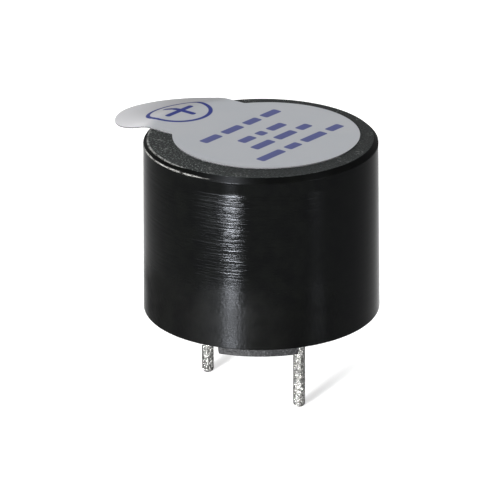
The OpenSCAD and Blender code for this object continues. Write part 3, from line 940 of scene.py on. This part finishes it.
def shaded_film_edge():
    """The film's cut edge, near black: painted shade."""
    material, tree, shader = new_material(
        "shaded_film_edge", Specular_IOR_Level=FILM_EDGE_LEVEL, Roughness=FILM_ROUGH)
    fine = use_group(tree, grain, Place=millimetres(tree), Size=GRAIN_SIZE)
    feed(tree, shader.inputs["Base Color"], blend_colours(tree, fine["Height"], *FILM_EDGE_SHADE))
    return material


# ---- Leads ----

# Dipped tin: lumpy, with bright specks on a duller grey.
TIN_TINT = (0.1, 0.1, 0.1, 1.0)
TIN_DULL = ((0.05, 0.05, 0.048), (0.17, 0.17, 0.165))
TIN_BRIGHT = (0.36, 0.36, 0.35)
TIN_BRIGHT_FROM = (0.48, 0.66)      # the grain's heights that go from dull to bright
TIN_ROUGH = (0.34, 0.24)
TIN_DEPTH = 0.03
TIN_GRAIN_SHARE = 0.6


def tinned_wire():
    material, tree, shader = new_material("tinned_wire", Metallic=1.0, Specular_Tint=TIN_TINT)
    place = millimetres(tree)
    lumps = use_group(tree, mottle, Place=place, Size=0.16, Edge=0.12)
    fine = use_group(tree, grain, Place=place, Size=0.07)
    dull = blend_colours(tree, lumps["Patches"], *TIN_DULL)
    bright = step_up(tree, fine["Height"], *TIN_BRIGHT_FROM)
    feed(tree, shader.inputs["Base Color"], blend_colours(tree, bright, dull, TIN_BRIGHT))
    feed(tree, shader.inputs["Roughness"], scaled(tree, lumps["Patches"], *TIN_ROUGH))
    grains = calc(tree, "MULTIPLY", fine["Height"], TIN_GRAIN_SHARE)
    height = calc(tree, "ADD", lumps["Patches"], grains)
    feed(tree, shader.inputs["Normal"], bump(tree, height, TIN_DEPTH))
    return material


def make_lead(name, x, finish):
    """A round lead with a rounded tip, thicker where the tin was dipped."""
    start_clean()
    dipped = RESIN_FACE_Z - LEAD_TIP_Z
    bpy.ops.mesh.primitive_cylinder_add(vertices=LEAD_STEPS, radius=LEAD_R, depth=dipped,
                                        location=(0, 0, LEAD_TIP_Z + dipped / 2))
    lead = bpy.context.object
    lead.name = name
    bpy.ops.object.transform_apply(location=True)
    edit_mode()
    pick("FACE", lambda face: face.normal.z > 0.5)
    bpy.ops.mesh.inset(thickness=LEAD_R - LEAD_CORE_R)
    run_line(Vector((0, 0, RESIN_FACE_Z)), Vector((0, 0, LEAD_TOP_Z)))
    pick("EDGE", lambda edge: all(v.co.z < LEAD_TIP_Z + MERGE for v in edge.verts))
    bpy.ops.mesh.bevel(offset=LEAD_TIP_ROUND, segments=LEAD_TIP_STEPS, affect="EDGES")
    for i in range(1, LEAD_RINGS + 1):
        height = LEAD_TIP_Z + LEAD_TIP_ROUND + i * LEAD_RING_PITCH
        select_all()
        bpy.ops.mesh.bisect(plane_co=(0, 0, height), plane_no=(0, 0, 1))
    close_up()
    object_mode()
    lead.location.x = x
    settle(lead, smooth=LEAD_SMOOTH)
    wear(lead, finish)
    return lead


# ---- Resin ----

# Black potting resin, glossy and slightly uneven where it set.
RESIN_LEVEL = 0.5
RESIN_BLACK = ((0.012, 0.012, 0.013), (0.022, 0.022, 0.023))
RESIN_ROUGH = (0.18, 0.34)
RESIN_DEPTH = 0.02


def sealing_resin():
    material, tree, shader = new_material("sealing_resin", Specular_IOR_Level=RESIN_LEVEL)
    patches = use_group(tree, mottle, Place=millimetres(tree), Size=1.6, Edge=0.2)["Patches"]
    feed(tree, shader.inputs["Base Color"], blend_colours(tree, patches, *RESIN_BLACK))
    feed(tree, shader.inputs["Roughness"], scaled(tree, patches, *RESIN_ROUGH))
    feed(tree, shader.inputs["Normal"], bump(tree, patches, RESIN_DEPTH))
    return material


def make_resin():
    low = RESIN_FACE_Z - RESIN_CLIMB
    inner = BORE_R - RESIN_CLIMB
    turns = [math.radians(90 / RESIN_STEPS * i) for i in range(1, RESIN_STEPS)]
    arc = [(BORE_R - RESIN_CLIMB * (1 - math.sin(a)), low + RESIN_CLIMB * math.cos(a)) for a in turns]
    corners = [(MERGE, RESIN_FACE_Z), (inner, RESIN_FACE_Z), *arc, (BORE_R, low),
               (BORE_R, RESIN_TOP_Z), (MERGE, RESIN_TOP_Z)]
    resin = turned("resin_fill", corners)
    resin.location = AXIS
    settle(resin)
    wear(resin, sealing_resin())
    return resin


# ---- Inner pieces, carried over from the frame ----

# Two colours that the finish wanders between, metal or not, roughness from and
# to, size of its grain in millimetres, and depth of its bump.
INNER_FINISHES = {
    "brass": ((0.68, 0.47, 0.17), (0.55, 0.36, 0.12), 1, 0.28, 0.42, 0.12, 0.002),
    "piezo_ceramic": ((0.62, 0.58, 0.48), (0.54, 0.50, 0.41), 0, 0.6, 0.75, 0.08, 0.004),
    "fired_silver": ((0.74, 0.73, 0.70), (0.58, 0.56, 0.52), 1, 0.4, 0.6, 0.1, 0.006),
    "silicone": ((0.72, 0.72, 0.70), (0.62, 0.62, 0.60), 0, 0.3, 0.45, 0.5, 0.01),
    "red_insulation": ((0.48, 0.02, 0.02), (0.40, 0.015, 0.015), 0, 0.32, 0.42, 0.3, 0.002),
    "blue_insulation": ((0.02, 0.07, 0.42), (0.015, 0.05, 0.34), 0, 0.32, 0.42, 0.3, 0.002),
    "black_insulation": ((0.015, 0.015, 0.016), (0.025, 0.025, 0.026), 0, 0.32, 0.42, 0.3, 0.002),
    "solder": ((0.78, 0.78, 0.77), (0.55, 0.55, 0.54), 1, 0.16, 0.34, 0.25, 0.008),
    "board_laminate": ((0.20, 0.26, 0.09), (0.15, 0.21, 0.07), 0, 0.4, 0.55, 0.35, 0.003),
    "copper": ((0.76, 0.36, 0.19), (0.58, 0.25, 0.12), 1, 0.28, 0.46, 0.2, 0.002),
    "moulding_compound": ((0.018, 0.018, 0.019), (0.03, 0.03, 0.031), 0, 0.55, 0.72, 0.05, 0.006),
    "tinned_metal": ((0.74, 0.73, 0.71), (0.56, 0.55, 0.53), 1, 0.26, 0.44, 0.15, 0.004),
    "resistor_ceramic": ((0.66, 0.66, 0.64), (0.58, 0.58, 0.56), 0, 0.45, 0.6, 0.08, 0.003),
    "capacitor_ceramic": ((0.40, 0.28, 0.17), (0.33, 0.23, 0.14), 0, 0.45, 0.6, 0.08, 0.003),
}


PATCH_SIZE = 4              # against the grain's


def inner_finish(slot, first, second, metal, smooth, rough, size, depth):
    material, tree, shader = new_material(slot, Metallic=float(metal))
    place = millimetres(tree)
    patches = use_group(tree, mottle, Place=place, Size=size * PATCH_SIZE, Edge=0.2)
    fine = use_group(tree, grain, Place=place, Size=size)
    feed(tree, shader.inputs["Base Color"], blend_colours(tree, patches["Patches"], first, second))
    feed(tree, shader.inputs["Roughness"], scaled(tree, patches["Fine"], smooth, rough))
    feed(tree, shader.inputs["Normal"], bump(tree, fine["Height"], depth))
    return material


def finish_inner_nodes(kept):
    """Gives every node of the frame its finish, apart from the ones that pieces
    of this script stand for."""
    made = {slot: inner_finish(slot, *values) for slot, values in INNER_FINISHES.items()}
    for part in frame["record"]["subparts"]:
        if part["node"] in kept:
            continue
        node = frame["nodes"][part["node"]]
        for slot in node.material_slots:
            slot.material = made[part["material_slot"]]


# ---- Stage, lamps and camera ----

VIEW_TURN = math.radians(44.4)      # round from the front towards +X
VIEW_LIFT = math.radians(21.78)
VIEW_ROLL = math.radians(-0.37)
VIEW_FAR = 243.9                    # millimetres from the point aimed at
VIEW_AT = Vector((-0.41, 0.25, 3.516))
LENS = 346.96
SENSOR = 36
NEAR_LIMIT = 0.01                   # metres
FAR_LIMIT = 10

# Each lamp's turn round from the camera and its lift, its width and height in
# millimetres, the angle it throws, and its power in watts.
LAMPS = {
    "key": (-28.6, 4, (155, 50), 17, 0.21),
    "shoulder": (-43, 4, (420, 50), 48, 0.22),
    "edge": (54, 4, (170, 50), 20, 0.013),
}
LAMP_FAR = 400

WHITE = (1.0, 1.0, 1.0)
SKY_LIGHT = 0.55                    # how strongly the white surroundings light the object
SKY_SEEN = 1.0                      # and how they look
FLOOR_PALE = (0.8, 0.8, 0.8)
FLOOR_GLOW = 0.47                   # what the floor adds where it is seen
FLOOR_SIZE = 3                      # metres


def towards(turn, lift):
    """A direction: turn is round from the camera, positive to its right."""
    angle = VIEW_TURN + turn
    return Vector((math.sin(angle) * math.cos(lift), -math.cos(angle) * math.cos(lift), math.sin(lift)))


def make_camera():
    data = bpy.data.cameras.new("camera")
    data.sensor_width = SENSOR
    data.lens = LENS
    data.clip_start = NEAR_LIMIT
    data.clip_end = FAR_LIMIT
    camera = bpy.data.objects.new("camera", data)
    bpy.context.scene.collection.objects.link(camera)
    back = towards(0, VIEW_LIFT)
    camera.location = (VIEW_AT + VIEW_FAR * back) * MM
    turn = (-back).to_track_quat("-Z", "Y").to_matrix().to_4x4()
    camera.rotation_euler = (turn @ Matrix.Rotation(VIEW_ROLL, 4, "Z")).to_euler()
    bpy.context.scene.camera = camera


def make_lamp(name, turn, lift, size, spread, power):
    """A soft rectangular lamp that faces the middle of the case."""
    data = bpy.data.lights.new(name, "AREA")
    data.shape = "RECTANGLE"
    data.size = size[0] * MM
    data.size_y = size[1] * MM
    data.spread = math.radians(spread)
    data.energy = power
    lamp = bpy.data.objects.new(name, data)
    bpy.context.scene.collection.objects.link(lamp)
    direction = towards(math.radians(turn), math.radians(lift))
    middle = AXIS + Vector((0, 0, TOP_Z / 2))
    lamp.location = (middle + LAMP_FAR * direction) * MM
    lamp.rotation_euler = direction.to_track_quat("Z", "Y").to_euler()


def seen_directly(tree):
    """1 for the rays of the camera, of gloss and of glass, and 0 for the rest."""
    path = add(tree, "ShaderNodeLightPath").outputs
    total = calc(tree, "ADD", path["Is Camera Ray"], path["Is Glossy Ray"])
    return calc(tree, "ADD", total, path["Is Transmission Ray"], clamp=True)


def pale_floor():
    """A matt white that glows a little where it is seen, and is clear from below."""
    material = bpy.data.materials.new("pale_floor")
    material.use_nodes = True
    tree = material.node_tree
    tree.nodes.clear()
    strength = calc(tree, "MULTIPLY", seen_directly(tree), FLOOR_GLOW)
    matt = add(tree, "ShaderNodeBsdfDiffuse", {"Color": FLOOR_PALE})
    glow = add(tree, "ShaderNodeEmission", {"Color": WHITE, "Strength": strength})
    clear = add(tree, "ShaderNodeBsdfTransparent")
    from_below = add(tree, "ShaderNodeNewGeometry").outputs["Backfacing"]
    above = add(tree, "ShaderNodeAddShader")
    choice = add(tree, "ShaderNodeMixShader", {"Fac": from_below})
    output = add(tree, "ShaderNodeOutputMaterial")
    tree.links.new(matt.outputs["BSDF"], above.inputs[0])
    tree.links.new(glow.outputs["Emission"], above.inputs[1])
    tree.links.new(above.outputs["Shader"], choice.inputs[1])
    tree.links.new(clear.outputs["BSDF"], choice.inputs[2])
    tree.links.new(choice.outputs["Shader"], output.inputs["Surface"])
    return material


def make_floor():
    start_clean()
    bpy.ops.mesh.primitive_plane_add(size=FLOOR_SIZE, location=(0, 0, 0))
    floor = bpy.context.object
    floor.name = "floor"
    for vert in floor.data.vertices:
        vert.co.z = FLOOR_Z * MM
    floor.data.materials.append(pale_floor())


def make_world():
    world = bpy.data.worlds.new("studio")
    bpy.context.scene.world = world
    world.use_nodes = True
    tree = world.node_tree
    background = next(n for n in tree.nodes if n.type == "BACKGROUND")
    strength = scaled(tree, seen_directly(tree), SKY_LIGHT, SKY_SEEN)
    feed(tree, background.inputs["Color"], WHITE)
    feed(tree, background.inputs["Strength"], strength)


def place_piece(piece, slot, *nodes):
    """Says which body a piece rides on and what it replaces. Its slot is not used."""
    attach(piece, "root")
    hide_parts(*nodes)


make_camera()
make_floor()
make_world()
for name, settings in LAMPS.items():
    make_lamp(name, *settings)

tin = tinned_wire()
place_piece(make_case(), "case_plastic", "case")
place_piece(make_film(), "label_film", "seal_label")
place_piece(make_lead("plus_lead", -LEAD_X, tin), "tinned_wire", "positive_lead")
place_piece(make_lead("minus_lead", LEAD_X, tin), "tinned_wire", "negative_lead")
place_piece(make_resin(), "sealing_resin", "sealing_resin")
finish_inner_nodes({"case", "seal_label", "positive_lead", "negative_lead", "sealing_resin"})

scene = bpy.context.scene
scene.view_settings.view_transform = "Standard"
